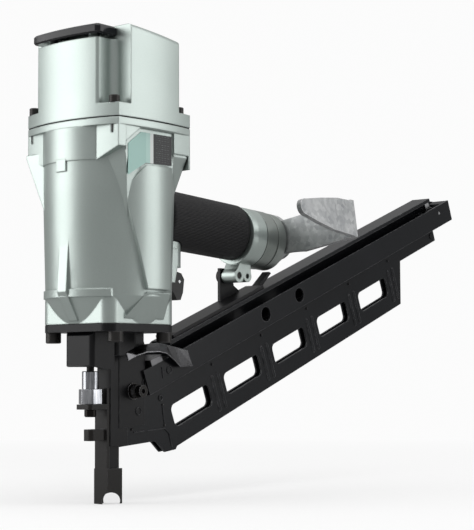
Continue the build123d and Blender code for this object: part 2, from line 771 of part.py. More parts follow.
# ================= contact foot and its adjuster =================
with BuildPart() as contact_foot:
    # U-shaped foot around the nose tip
    with BuildSketch(Plane.XY):
        with Locations(((ARM_FRONT_X + FOOT_REAR_X) / 2, 0)):
            Rectangle(FOOT_REAR_X - ARM_FRONT_X, 2 * FOOT_HALF_Y)
        with Locations(((ARM_BACK_X + 20) / 2, 0)):
            Rectangle(20 - ARM_BACK_X, 2 * (FOOT_HALF_Y - FOOT_WALL), mode=Mode.SUBTRACT)
    extrude(amount=FOOT_TOP)
    # shallow round notch across the tip
    with BuildSketch(Plane(origin=(-23.04, -19.2, 2.3), x_dir=(0.64, -0.768, 0), z_dir=(0.768, 0.64, 0))):
        with Locations((2.4, 0)):
            Circle(7)
    extrude(amount=60, mode=Mode.SUBTRACT)
    # strap up the front of the nose, finger tab and eye for the adjuster
    with BuildSketch(Plane.XY.offset(FOOT_TOP - 4)):
        with Locations(((ARM_FRONT_X + ARM_BACK_X) / 2, 0)):
            Rectangle(ARM_BACK_X - ARM_FRONT_X, 13.6)
    extrude(amount=92 - FOOT_TOP + 4)
    with BuildSketch(Plane.XY.offset(50.5)):
        with Locations((-15.6, 0)):
            RectangleRounded(18, 10, 3.5)
        with Locations((-19.0, 0)):
            Circle(1.8, mode=Mode.SUBTRACT)
    extrude(amount=9)
    with BuildSketch(Plane.XY.offset(EYE_Z)):
        with Locations((-17.3, 0)):
            RectangleRounded(23.4, 17, 3)
        with Locations((ADJUSTER_X, 0)):
            Circle(4.2, mode=Mode.SUBTRACT)
    extrude(amount=EYE_T)
pieces["contact_foot"] = contact_foot

with BuildPart() as adjuster_nut:
    with BuildSketch(Plane.XY.offset(69.3)):
        with Locations((ADJUSTER_X, 0)):
            Circle(4.75)
    extrude(amount=5.7)
    chamfer(adjuster_nut.edges().group_by(Axis.Z)[0], 0.8)
    with BuildSketch(Plane.XY.offset(75.0)):
        with Locations((ADJUSTER_X, 0)):
            Circle(3.9)
    extrude(amount=4.6)
    with BuildSketch(Plane.XY.offset(79.6)):
        with Locations((ADJUSTER_X, 0)):
            RegularPolygon(9.5, 6)
    extrude(amount=11.7)
    with BuildSketch(Plane.XY.offset(78.0)):
        with Locations((ADJUSTER_X, 0)):
            Circle(3.05)
    extrude(amount=20, mode=Mode.SUBTRACT)
pieces["adjuster_nut"] = adjuster_nut

with BuildPart() as adjuster_sleeve:
    with BuildSketch(Plane.XY.offset(91.3)):
        with Locations((ADJUSTER_X, 0)):
            Circle(6.65)
            Circle(3.3, mode=Mode.SUBTRACT)
    extrude(amount=14.3)
    chamfer(adjuster_sleeve.edges().group_by(Axis.Z)[-1], 0.5)
pieces["adjuster_sleeve"] = adjuster_sleeve

with BuildPart() as push_lever:
    # threaded rod, link through the side of the cover, side plate
    with BuildSketch(Plane.XY.offset(82)):
        with Locations((ADJUSTER_X, 0)):
            Circle(3.0)
    extrude(amount=34)
    with BuildSketch(Plane.XY.offset(LINK_Z)):
        with Locations((ADJUSTER_X, 6.5)):
            Rectangle(8, 19)
    extrude(amount=4.5)
    with BuildSketch(SIDE.offset(-16)):
        with BuildLine():
            Polyline(
                (-28, LINK_Z),
                (-28, 119),
                (46, 119),
                (51.6, 125),
                (51.6, 163.5),
                (58, 163.5),
                (58, 118),
                (50, LINK_Z),
                close=True,
            )
        make_face()
    extrude(amount=-2.5)
    # tab that lifts the arm in the trigger
    with BuildSketch(Plane.XY.offset(159)):
        with Locations((55.4, 7.25)):
            Rectangle(4.2, 22.5)
    extrude(amount=4.5)
pieces["push_lever"] = push_lever

with BuildPart() as push_lever_spring:
    add(spring(4.6, 0.55, 5, LINK_Z + 4.5, 133.5, x=ADJUSTER_X))
pieces["push_lever_spring"] = push_lever_spring

# ================= trigger group =================
with BuildPart() as trigger:
    with BuildSketch(SIDE):
        with BuildLine():
            Polyline((56, 189), (70, 190), (79, 188), (82.5, 183), (81, 172), (78, 165.5))
            Line((78, 165.5), (73, 165))
            ThreePointArc((73, 165), (67.0, 173.2), (59, 177.5))
            Line((59, 177.5), (56, 189))
        make_face()
    extrude(amount=8.0, both=True)
    chamfer(trigger.edges().filter_by(Axis.Y).group_by(Axis.Z)[0], 0.8)
    with BuildSketch(SIDE):
        with BuildLine():
            Polyline(
                (50, 195),
                (79.6, 195),
                (80.2, 184),
                (78.5, 175.5),
                (75.5, 170.5),
                (72.5, 172.5),
                (67.5, 177.0),
                (50, 177.0),
                close=True,
            )
        make_face()
    extrude(amount=5.5, both=True, mode=Mode.SUBTRACT)
    with BuildSketch(SIDE):
        with Locations((TRIGGER_PIN_X, TRIGGER_PIN_Z)):
            Circle(2.05)
        with Locations((LEVER_PIN_X, LEVER_PIN_Z)):
            Circle(1.55)
    extrude(amount=9, both=True, mode=Mode.SUBTRACT)
pieces["trigger"] = trigger

with BuildPart() as trigger_pin:
    with BuildSketch(SIDE):
        with Locations((TRIGGER_PIN_X, TRIGGER_PIN_Z)):
            Circle(2.0)
    extrude(amount=13.4, both=True)
pieces["trigger_pin"] = trigger_pin

with BuildPart() as trigger_arm:
    with BuildSketch(SIDE):
        with BuildLine():
            Polyline(
                (54, 178.4),
                (54, 180.4),
                (63.5, 180.4),
                (66.0, 186.0),
                (72.0, 186.0),
                (78.4, 183.0),
                (78.4, 179.0),
                (77.0, 178.4),
                close=True,
            )
        make_face()
        with Locations((LEVER_PIN_X, LEVER_PIN_Z)):
            Circle(1.56, mode=Mode.SUBTRACT)
    extrude(amount=4.9, both=True)
pieces["trigger_arm"] = trigger_arm

with BuildPart() as trigger_arm_pin:
    with BuildSketch(SIDE):
        with Locations((LEVER_PIN_X, LEVER_PIN_Z)):
            Circle(1.5)
    extrude(amount=7.9, both=True)
pieces["trigger_arm_pin"] = trigger_arm_pin

with BuildPart() as valve_bushing:
    with BuildSketch(Plane.XY.offset(BUSHING_Z - 0.1)):
        with Locations((VALVE_X, 0)):
            Circle(8.0)
    extrude(amount=BUSHING_TOP - BUSHING_Z + 0.1)
    with BuildSketch(Plane.XY.offset(BUSHING_Z - 1)):
        with Locations((VALVE_X, 0)):
            Circle(2.7)
    extrude(amount=10, mode=Mode.SUBTRACT)
    with BuildSketch(Plane.XY.offset(197)):
        with Locations((VALVE_X, 0)):
            Circle(5.5)
    extrude(amount=14.5, mode=Mode.SUBTRACT)
pieces["valve_bushing"] = valve_bushing

with BuildPart() as trigger_plunger:
    with BuildSketch(Plane.XY.offset(PLUNGER_TIP)):
        with Locations((VALVE_X, 0)):
            Circle(2.4)
    extrude(amount=199 - PLUNGER_TIP)
    fillet(trigger_plunger.edges().group_by(Axis.Z)[0], 0.8)
    with BuildSketch(Plane.XY.offset(199)):
        with Locations((VALVE_X, 0)):
            Circle(4.8)
    extrude(amount=4)
pieces["trigger_plunger"] = trigger_plunger

with BuildPart() as plunger_spring:
    add(spring(3.6, 0.4, 4, 203, 211.5, x=VALVE_X))
pieces["plunger_spring"] = plunger_spring

# ================= handle end =================
with BuildPart() as grip_sleeve:
    with BuildSketch(HANDLE.offset(GRIP_START)):
        Ellipse(GRIP_RY, GRIP_RZ)
    extrude(amount=GRIP_END - GRIP_START)
    fillet(grip_sleeve.edges(), 2.6)
    with BuildSketch(HANDLE.offset(GRIP_START - 1)):
        Ellipse(TUBE_RY + 0.1, TUBE_RZ + 0.1)
    extrude(amount=GRIP_END - GRIP_START + 2, mode=Mode.SUBTRACT)
    with BuildSketch(Plane.XY.offset(BUSHING_Z)):
        with Locations((VALVE_X - 6, 0)):
            SlotOverall(39.4, 25.6)
    extrude(amount=24.6, mode=Mode.SUBTRACT)
pieces["grip_sleeve"] = grip_sleeve

with BuildPart() as end_cap_gasket:
    with BuildSketch(HANDLE.offset(END_FLANGE_END)):
        with Locations((0, -END_DROP)):
            Ellipse(END_RY - 0.6, END_RZ - 0.6)
            with PolarLocations(END_BOLT_R, 4, start_angle=45):
                Circle(1.7, mode=Mode.SUBTRACT)
        Ellipse(TUBE_RY - 3.9, TUBE_RZ - 3.9, mode=Mode.SUBTRACT)
    extrude(amount=END_CAP_START - END_FLANGE_END)
pieces["end_cap_gasket"] = end_cap_gasket

with BuildPart() as end_cap:
    with BuildSketch(HANDLE.offset(END_CAP_START)):
        with Locations((0, -END_DROP)):
            Ellipse(END_RY, END_RZ)
    extrude(amount=190.5 - END_CAP_START)
    with BuildSketch(HANDLE.offset(190.5)):
        with Locations((0, -END_DROP)):
            Ellipse(END_RY - 1.3, END_RZ - 1.3)
    extrude(amount=2.5)
    with BuildSketch(HANDLE.offset(193)):
        with Locations((0, -END_DROP)):
            Ellipse(END_RY - 0.4, END_RZ - 0.4)
    extrude(amount=END_CAP_END - 193)
    chamfer(end_cap.edges().group_by(Axis(HANDLE.origin, HANDLE.z_dir))[-1], 1.2)
    # round boss for the hook, with the threaded air inlet
    with BuildSketch(HANDLE.offset(END_CAP_END - 2)):
        Circle(BOSS_R)
    extrude(amount=BOSS_END - END_CAP_END + 2)
    with BuildSketch(HANDLE.offset(BOSS_END + 1)):
        Circle(INLET_R)
    extrude(amount=-INLET_DEPTH - 1, mode=Mode.SUBTRACT)
    with BuildSketch(HANDLE.offset(END_CAP_START - 1)):
        Circle(5.0)
    extrude(amount=BOSS_END - END_CAP_START, mode=Mode.SUBTRACT)
    with BuildSketch(HANDLE.offset(END_CAP_START - 1)):
        Ellipse(TUBE_RY - 4, TUBE_RZ - 4)
    extrude(amount=18, mode=Mode.SUBTRACT)
    # groove for the retaining ring, counterbores for the bolts
    with BuildSketch(HANDLE.offset(RING_START)):
        Circle(BOSS_R + 2)
        Circle(BOSS_R - 1.2, mode=Mode.SUBTRACT)
    extrude(amount=2.0, mode=Mode.SUBTRACT)
    with BuildSketch(HANDLE.offset(END_CAP_START - 1)):
        with Locations((0, -END_DROP)):
            with PolarLocations(END_BOLT_R, 4, start_angle=45):
                Circle(1.65)
    extrude(amount=40, mode=Mode.SUBTRACT)
    with BuildSketch(HANDLE.offset(END_CAP_END - 3.2)):
        with Locations((0, -END_DROP)):
            with PolarLocations(END_BOLT_R, 4, start_angle=45):
                Circle(2.6)
    extrude(amount=4, mode=Mode.SUBTRACT)
pieces["end_cap"] = end_cap

with BuildPart() as end_cap_bolts:
    with BuildSketch(HANDLE.offset(END_CAP_END - 3.2)):
        with Locations((0, -END_DROP)):
            with PolarLocations(END_BOLT_R, 4, start_angle=45):
                Circle(2.5)
    extrude(amount=3.0)
    with BuildSketch(HANDLE.offset(END_CAP_END - 3.2)):
        with Locations((0, -END_DROP)):
            with PolarLocations(END_BOLT_R, 4, start_angle=45):
                Circle(1.6)
    extrude(amount=-33)
pieces["end_cap_bolts"] = end_cap_bolts

with BuildPart() as hook_retainer:
    with BuildSketch(HANDLE.offset(RING_START + 0.1)):
        Circle(BOSS_R + 3.2)
        Circle(BOSS_R - 1.1, mode=Mode.SUBTRACT)
        with Locations((0, -BOSS_R)):
            Rectangle(7, 10, mode=Mode.SUBTRACT)
    extrude(amount=1.8)
pieces["hook_retainer"] = hook_retainer

with BuildPart() as rafter_hook:
    with BuildSketch(HOOK):
        Circle(HOOK_HUB_R)
        with BuildLine():
            Polyline((0, 13.5), (HOOK_REACH, 13.5), (HOOK_REACH, -20.0), (40.0, -20.0))
            ThreePointArc((40.0, -20.0), (27.0, -17.6), (16.6, -16.6))
            Polyline((16.6, -16.6), (0, 0), (0, 13.5))
        make_face()
        Circle(BOSS_R + 0.1, mode=Mode.SUBTRACT)
    extrude(amount=HOOK_T)
    with BuildSketch(FLAP):
        with BuildLine():
            Polyline(
                (0, 13.5),
                (3.5, 12.6),
                (25, 12.0),
                (50, 8.2),
                (72, 4.0),
            )
            ThreePointArc((72, 4.0), (79.6, -2.6), (74, -10.0))
            Polyline((74, -10.0), (56, -14.0), (34, -18.0), (3.5, -19.6), (0, -20.0), (0, 13.5))
        make_face()
    extrude(amount=4.5)
pieces["rafter_hook"] = rafter_hook

# ================= magazine =================
rib_s = [WINDOW_S0 + WINDOW_L + (WINDOW_PITCH - WINDOW_L) / 2 + n * WINDOW_PITCH for n in range(WINDOWS)]
for name, outward in (("near", 1), ("far", -1)):
    with BuildPart() as magazine_plate_side:
        with BuildSketch(MAG.offset(outward * PLATE_IN)):
            with BuildLine():
                Polyline(
                    along_magazine(8.0, 112.0),
                    along_magazine(9.0, 44.6),
                    along_magazine(51.6, 47.8),
                    along_magazine(62.6, 38.3),
                    along_magazine(76.0, 40.0),
                    (88.0, MAG_BOTTOM_T),
                    ((PANEL_REAR_X + MAG_BOTTOM_T * s_mag) / c_mag, MAG_BOTTOM_T),
                    ((PANEL_REAR_X + LEDGE_T * s_mag) / c_mag, LEDGE_T),
                    (LEDGE_S1, LEDGE_T),
                    (LEDGE_S1, PLATE_TOP_T),
                    (56.0, PLATE_TOP_T),
                    (56.0, 98.0),
                    close=True,
                )
            make_face()
            for n in range(WINDOWS):
                window_s = WINDOW_S0 + WINDOW_L / 2 + n * WINDOW_PITCH
                with Locations((window_s, WINDOW_T0 + WINDOW_H / 2)):
                    RectangleRounded(WINDOW_L, WINDOW_H, 5, mode=Mode.SUBTRACT)
        extrude(amount=outward * (PLATE_OUT - PLATE_IN))
        # pairs of pressed ribs between the windows
        with BuildSketch(MAG.offset(outward * (PLATE_OUT - 0.2))):
            for s in rib_s:
                for step in (-4.2, 4.2):
                    with Locations((s + step, (MAG_BOTTOM_T + LEDGE_T) / 2 + 2)):
                        SlotOverall(LEDGE_T - MAG_BOTTOM_T - 8, 3.0, rotation=90)
        extrude(amount=outward * 0.9)
    pieces[f"magazine_plate_{name}"] = magazine_plate_side

with BuildPart() as magazine_channel:
    # floor in two halves with the nail slot between them
    for side in (-1, 1):
        with BuildSketch(MAG.offset(side * PLATE_IN)):
            with Locations(((CHANNEL_S0 + CHANNEL_S1) / 2, CHANNEL_T0 + CHANNEL_WALL / 2)):
                Rectangle(CHANNEL_S1 - CHANNEL_S0, CHANNEL_WALL)
        extrude(amount=side * (CHANNEL_HALF - PLATE_IN))
    with BuildSketch(MAG):
        with Locations(((LEDGE_S1 + 7 + CHANNEL_S1) / 2, CHANNEL_T0 + CHANNEL_WALL / 2)):
            Rectangle(CHANNEL_S1 - LEDGE_S1 - 7, CHANNEL_WALL)
    extrude(amount=PLATE_IN, both=True)
    with BuildSketch(MAG.offset(CHANNEL_HALF - CHANNEL_WALL)):
        with Locations(((CHANNEL_S0 + CHANNEL_S1) / 2, (CHANNEL_T0 + CHANNEL_T1) / 2)):
            Rectangle(CHANNEL_S1 - CHANNEL_S0, CHANNEL_T1 - CHANNEL_T0)
        for s in PORT_S:
            with Locations((s, PORT_T)):
                Circle(PORT_R, mode=Mode.SUBTRACT)
    extrude(amount=CHANNEL_WALL)
    with BuildSketch(MAG.offset(-CHANNEL_HALF + CHANNEL_WALL)):
        with BuildLine():
            Polyline(
                (CHANNEL_S0, CHANNEL_T0),
                (CHANNEL_S1, CHANNEL_T0),
                (CHANNEL_S1, CHANNEL_T1),
                (RAIL_S1, RAIL_T1),
                (RAIL_S0, RAIL_T1),
                (CHANNEL_S0, CHANNEL_T1),
                close=True,
            )
        make_face()
    extrude(amount=-CHANNEL_WALL)
    with BuildSketch(MAG):
        with Locations(((RAIL_S0 + RAIL_S1) / 2, (RAIL_T0 + RAIL_T1) / 2)):
            Rectangle(RAIL_S1 - RAIL_S0, RAIL_T1 - RAIL_T0)
    extrude(amount=CHANNEL_HALF, both=True)
    with BuildSketch(MAG):
        with Locations((STOPPER_S, STOPPER_T)):
            Circle(1.5)
    extrude(amount=CHANNEL_HALF + 1, both=True, mode=Mode.SUBTRACT)
pieces["magazine_channel"] = magazine_channel

with BuildPart() as magazine_rear_cap:
    with BuildSketch(MAG):
        with Locations((565, (CHANNEL_T0 + CHANNEL_WALL + CHANNEL_T1) / 2 + 0.05)):
            Rectangle(12, CHANNEL_T1 - CHANNEL_T0 - CHANNEL_WALL - 0.1)
    extrude(amount=CHANNEL_HALF - CHANNEL_WALL, both=True)
pieces["magazine_rear_cap"] = magazine_rear_cap

with BuildPart() as nail_stopper:
    with BuildSketch(MAG):
        with BuildLine():
            Polyline(
                (538, 86.5),
                (538, 97.5),
                (543, 98.0),
                (546, 89.0),
                (554, 84.0),
                (554, 76.0),
                (546, 76.0),
                close=True,
            )
        make_face()
    extrude(amount=3.2, both=True)
    with BuildSketch(MAG):
        with Locations((STOPPER_S, STOPPER_T)):
            Circle(1.45)
    extrude(amount=CHANNEL_HALF - 0.1, both=True)
pieces["nail_stopper"] = nail_stopper

with BuildPart() as nail_feeder:
    with BuildSketch(MAG):
        with Locations((90, 77.8)):
            Rectangle(32, 16.4)
        with Locations((81, 89)):
            Rectangle(14, 10)
    extrude(amount=7.8, both=True)
    with BuildSketch(MAG):
        with Locations((81, 91.2)):
            Rectangle(14, 5.4)
    extrude(amount=13.0)
    with BuildSketch(MAG):
        with BuildLine():
            Polyline((60, 30), (84, 30), (90, 44), (90, 72), (60, 72), close=True)
        make_face()
    extrude(amount=1.8, both=True)
pieces["nail_feeder"] = nail_feeder

with BuildPart() as feeder_lever:
    # finger lever outside the channel
    with BuildSketch(MAG.offset(13.0)):
        with BuildLine():
            Polyline((52, 98), (54, 104), (85, 103), (93, 93.5), (128, 89.5))
            ThreePointArc((128, 89.5), (124, 79), (127, 70))
            Polyline((127, 70), (92, 72.5), (86, 90), (78, 96), (52, 98))
        make_face()
        with Locations((81, 92.5)):
            Rectangle(14, 10)
    extrude(amount=2.0)
pieces["feeder_lever"] = feeder_lever

with BuildPart() as feeder_spring:
    # rolled spring band with a short tail
    with BuildSketch(MAG):
        with Locations((113.6, 77)):
            Circle(6.5)
            Circle(2.4, mode=Mode.SUBTRACT)
        with Locations((110.0, 71.0)):
            Rectangle(7.6, 0.8)
    extrude(amount=5.0, both=True)
pieces["feeder_spring"] = feeder_spring

rivet_places = [(s, 60.0) for s in rib_s]
rivet_ends = [(535.0, 59.5)]
with BuildPart() as magazine_rivets:
    for outward in (1, -1):
        with BuildSketch(MAG.offset(outward * PLATE_OUT)):
            for s, t in rivet_places:
                with Locations((s, t)):
                    Circle(1.5)
            for s, t in rivet_ends:
                with Locations((s, t)):
                    Circle(3.2)
        extrude(amount=outward * 1.0, taper=20)
pieces["magazine_rivets"] = magazine_rivets

with BuildPart() as magazine_bracket:
    # foot on the rail and an upright plate to the lug bolt
    with BuildSketch(MAG.offset(9)):
        with BuildLine():
            Polyline(
                (112, RAIL_T1),
                (112, RAIL_T1 + 2.2),
                (116, RAIL_T1 + 3.2),
                (241, RAIL_T1 + 3.2),
                (241, RAIL_T1),
                close=True,
            )
        make_face()
    extrude(amount=-20.6)
    with BuildSketch(MAG.offset(4)):
        with BuildLine():
            Polyline(
                (236, RAIL_T1),
                (236, RAIL_T1 + 3.2),
                (241, RAIL_T1 + 3.2),
                (260, RAIL_T1 + 10.0),
                (262, RAIL_T1 + 8.0),
                (243, RAIL_T1),
                close=True,
            )
        make_face()
    extrude(amount=-8)
    with BuildSketch(SIDE.offset(-8.6)):
        with BuildLine():
            Polyline((149, 197), (149, 165), (178, 176.5), (168, 182), (163, 197), close=True)
        make_face()
        with Locations((LUG_X, LUG_Z)):
            Circle(3.05, mode=Mode.SUBTRACT)
    extrude(amount=-3.0)
pieces["magazine_bracket"] = magazine_bracket

with BuildPart() as bracket_bolt:
    with BuildSketch(SIDE.offset(7)):
        with Locations((LUG_X, LUG_Z)):
            Circle(3.0)
    extrude(amount=-18.6)
    with BuildSketch(SIDE.offset(-11.6)):
        with Locations((LUG_X, LUG_Z)):
            Circle(6.75)
    extrude(amount=-3.4)
    fillet(bracket_bolt.edges().group_by(Axis.Y)[-1], 2.2)
pieces["bracket_bolt"] = bracket_bolt

with BuildPart() as magazine_screw:
    with BuildSketch(SIDE.offset(4.5)):
        with Locations((SCREW_X, SCREW_Z)):
            Circle(3.0)
    extrude(amount=12.0)
    with BuildSketch(SIDE.offset(8.2)):
        with Locations((SCREW_X, SCREW_Z)):
            Circle(7.0)
    extrude(amount=1.2)
    with BuildSketch(SIDE.offset(15.4)):
        with Locations((SCREW_X, SCREW_Z)):
            Circle(4.9)
    extrude(amount=4.4)
    with BuildSketch(SIDE.offset(19.8)):
        with Locations((SCREW_X, SCREW_Z)):
            RegularPolygon(2.4, 6)
    extrude(amount=-2.6, mode=Mode.SUBTRACT)
pieces["magazine_screw"] = magazine_screw

with BuildPart() as screw_spring:
    add(Pos(SCREW_X, 0, SCREW_Z) * Rot(90, 0, 0) * spring(5.0, 0.7, 4, 9.4, 15.4))
pieces["screw_spring"] = screw_spring

# ================= write the pieces =================
for name, piece in pieces.items():
    piece.part.label = name
    export_step(piece.part, f"parts/{name}.step")
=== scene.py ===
import bpy
import json
from math import cos, pi, radians, sin
from mathutils import Matrix, Vector


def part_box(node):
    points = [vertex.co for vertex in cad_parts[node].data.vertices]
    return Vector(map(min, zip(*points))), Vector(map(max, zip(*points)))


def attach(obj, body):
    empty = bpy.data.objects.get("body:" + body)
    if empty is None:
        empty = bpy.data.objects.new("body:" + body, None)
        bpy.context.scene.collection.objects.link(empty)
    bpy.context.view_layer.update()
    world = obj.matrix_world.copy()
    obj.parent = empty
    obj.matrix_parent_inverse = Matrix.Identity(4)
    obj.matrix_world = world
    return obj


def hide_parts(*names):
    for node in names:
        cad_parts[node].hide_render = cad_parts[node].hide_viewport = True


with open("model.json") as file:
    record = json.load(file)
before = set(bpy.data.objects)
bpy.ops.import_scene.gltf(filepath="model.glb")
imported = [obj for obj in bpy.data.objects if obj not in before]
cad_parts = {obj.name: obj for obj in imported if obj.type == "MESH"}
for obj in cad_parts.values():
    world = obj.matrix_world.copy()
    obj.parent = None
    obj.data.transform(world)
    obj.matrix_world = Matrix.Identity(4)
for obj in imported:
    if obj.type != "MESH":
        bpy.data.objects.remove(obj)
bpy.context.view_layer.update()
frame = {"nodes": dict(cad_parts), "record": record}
nodes = frame["nodes"]
record = frame["record"]

MM_PER_METRE = 1000

# slope of the handle, and its height at the drive axis, in metres
HANDLE_SLOPE = radians(3.5)
HANDLE_Z = 0.238

# sockets of the Mix node when it mixes colours
MIX_FAC = 0
MIX_A = 6
MIX_B = 7
MIX_RESULT = 2

# bump depths that several materials share, in metres
FINE_DEPTH = 0.0001
GRAIN_DEPTH = 0.00015


# ================= node helpers =================
def add(tree, kind, inputs=None, **props):
    """New shader node; an input is given a value, or linked when it is given a socket."""
    node = tree.nodes.new("ShaderNode" + kind)
    for key, value in props.items():
        setattr(node, key, value)
    for key, value in (inputs or {}).items():
        if isinstance(value, bpy.types.NodeSocket):
            tree.links.new(value, node.inputs[key])
        else:
            node.inputs[key].default_value = value
    return node


def new_material(name, **sockets):
    """New material: returns it with its node tree and shader."""
    mat = bpy.data.materials.new(name)
    mat.use_nodes = True
    shader = mat.node_tree.nodes["Principled BSDF"]
    for key, value in sockets.items():
        shader.inputs[key.replace("_", " ")].default_value = value
    return mat, mat.node_tree, shader


def coords(tree, scale=(1, 1, 1), turn=(0, 0, 0), shift=(0, 0, 0)):
    """Object coordinates, moved, turned and stretched."""
    place = add(tree, "TexCoord")
    return add(
        tree,
        "Mapping",
        {"Vector": place.outputs["Object"], "Location": shift, "Rotation": turn, "Scale": scale},
    ).outputs["Vector"]


def noise(tree, scale, detail=3.0, rough=0.55, vector=None):
    """Noise between 0 and 1; scale is in features to the metre."""
    if vector is None:
        vector = coords(tree)
    return add(
        tree,
        "TexNoise",
        {"Vector": vector, "Scale": scale, "Detail": detail, "Roughness": rough},
    ).outputs["Fac"]


def ramp(tree, fac, stops, interpolation="LINEAR"):
    """Colour ramp; stops are (position, colour)."""
    node = add(tree, "ValToRGB", {"Fac": fac})
    node.color_ramp.interpolation = interpolation
    while len(node.color_ramp.elements) < len(stops):
        node.color_ramp.elements.new(0.5)
    for element, (place, colour) in zip(node.color_ramp.elements, stops):
        element.position = place
        element.color = (*colour, 1.0)
    return node.outputs["Color"]


def spread(tree, value, low, high, start=0.0, end=1.0):
    """Map a value from start..end to low..high."""
    return add(
        tree,
        "MapRange",
        {"Value": value, "From Min": start, "From Max": end, "To Min": low, "To Max": high},
    ).outputs["Result"]


def calc(tree, operation, a, b=0.0):
    """One step of arithmetic."""
    return add(tree, "Math", {0: a, 1: b}, operation=operation).outputs["Value"]


def blend_colour(tree, fac, a, b, mode="MIX"):
    """Mix of two colours or colour sockets."""
    node = add(tree, "Mix", data_type="RGBA", blend_type=mode)
    for index, value in ((MIX_FAC, fac), (MIX_A, a), (MIX_B, b)):
        socket = node.inputs[index]
        if isinstance(value, bpy.types.NodeSocket):
            tree.links.new(value, socket)
        elif isinstance(value, tuple):
            socket.default_value = (*value, 1.0)
        else:
            socket.default_value = value
    return node.outputs[MIX_RESULT]


def edges(tree, radius):
    """1 on edges that stick out or in, 0 on flat ground."""
    flat_above = 0.985
    edge_below = 0.86
    rounded = add(tree, "Bevel", {"Radius": radius}, samples=4).outputs["Normal"]
    flat = add(tree, "NewGeometry").outputs["Normal"]
    same = add(tree, "VectorMath", {0: rounded, 1: flat}, operation="DOT_PRODUCT").outputs["Value"]
    return spread(tree, same, 0.0, 1.0, flat_above, edge_below)


def crevices(tree, reach):
    """0 deep in corners, 1 in the open."""
    return add(tree, "AmbientOcclusion", {"Distance": reach}, samples=4).outputs["AO"]


def relief(tree, shader, height, depth, strength=1.0, edge=0.0):
    """Bump of a height texture on top of rounded edges."""
    bump = add(tree, "Bump", {"Height": height, "Distance": depth, "Strength": strength})
    if edge:
        rounded = add(tree, "Bevel", {"Radius": edge}, samples=4)
        tree.links.new(rounded.outputs["Normal"], bump.inputs["Normal"])
    tree.links.new(bump.outputs["Normal"], shader.inputs["Normal"])


# ================= materials =================
def silver_paint():
    """Pale green-silver metallic paint with fine flake, and painted shade darkening the corners."""
    mat, tree, shader = new_material(
        "silver_paint", Metallic=0.9, Coat_Weight=0.3, Coat_Roughness=0.18
    )
    tone = ramp(tree, noise(tree, 12.0), ((0.3, (0.50, 0.57, 0.54)), (0.7, (0.55, 0.62, 0.59))))
    flake = noise(tree, 2600.0, 2.0)
    sparkle = ramp(tree, flake, ((0.25, (0.84, 0.84, 0.84)), (0.75, (1.0, 1.0, 1.0))))
    tone = blend_colour(tree, 1.0, tone, sparkle, "MULTIPLY")
    # painted shade: the base colour darkens to dark green-grey deep in corners and seams, where shade
    # falls
    open_ground = spread(tree, crevices(tree, 0.006), 0.45, 1.0, 0.25, 0.85)
    painted_corner_shade = blend_colour(tree, open_ground, (0.16, 0.19, 0.18), tone)
    tree.links.new(painted_corner_shade, shader.inputs["Base Color"])
    tree.links.new(spread(tree, flake, 0.34, 0.46), shader.inputs["Roughness"])
    relief(tree, shader, flake, 0.00012, 0.10, 0.0014)
    return mat


def black_coat(
    name, dark, light, rough, level=0.3, edge_wear_and_highlight=0.06, grain=1500.0, edge=0.0007, metal=0.0, gloss=0.0
):
    """Black coating: slow tone, fine grain, edges lighter as rubbed wear and as painted highlight, with a
    gloss coat if asked for.
    """
    mat, tree, shader = new_material(
        name, Metallic=metal, Specular_IOR_Level=level, Coat_Weight=gloss, Coat_Roughness=0.06
    )
    tone = ramp(tree, noise(tree, 16.0), ((0.3, dark), (0.7, light)))
    # edges are painted lighter: partly patchy rubbed wear, partly painted highlight on the rounded edges
    wear = spread(tree, noise(tree, 160.0), 0.2, 1.0, 0.35, 0.65)
    rubbed_and_highlit = calc(tree, "MULTIPLY", edges(tree, edge), wear)
    tone = blend_colour(tree, rubbed_and_highlit, tone, (edge_wear_and_highlight, edge_wear_and_highlight, edge_wear_and_highlight * 1.05))
    tree.links.new(tone, shader.inputs["Base Color"])
    grit = noise(tree, grain)
    tree.links.new(spread(tree, grit, *rough), shader.inputs["Roughness"])
    relief(tree, shader, grit, GRAIN_DEPTH, 0.12, edge)
    return mat


def bare_metal(name, dark, light, rough, grain=700.0, patch=30.0, edge=0.0006):
    """Plated or ground metal with faint scratches, and painted shade darkening its crevices."""
    mat, tree, shader = new_material(name, Metallic=1.0)
    tone = ramp(tree, noise(tree, patch), ((0.3, dark), (0.7, light)))
    # painted shade: the colour darkens to near black in crevices and corners, where shade falls
    painted_crevice_shade = spread(tree, crevices(tree, 0.004), 0.35, 1.0, 0.2, 0.8)
    tone = blend_colour(tree, painted_crevice_shade, (0.05, 0.05, 0.05), tone)
    tree.links.new(tone, shader.inputs["Base Color"])
    scratch = noise(tree, grain, rough=0.6)
    tree.links.new(spread(tree, scratch, *rough), shader.inputs["Roughness"])
    relief(tree, shader, scratch, FINE_DEPTH, 0.10, edge)
    return mat


def rubber(name, dark, light, rough):
    """Matt moulded rubber."""
    mat, tree, shader = new_material(name, Specular_IOR_Level=0.35)
    grit = noise(tree, 1800.0)
    tone = ramp(tree, noise(tree, 40.0), ((0.3, dark), (0.7, light)))
    tree.links.new(tone, shader.inputs["Base Color"])
    tree.links.new(spread(tree, grit, *rough), shader.inputs["Roughness"])
    relief(tree, shader, grit, 0.0002, 0.2, 0.0005)
    return mat


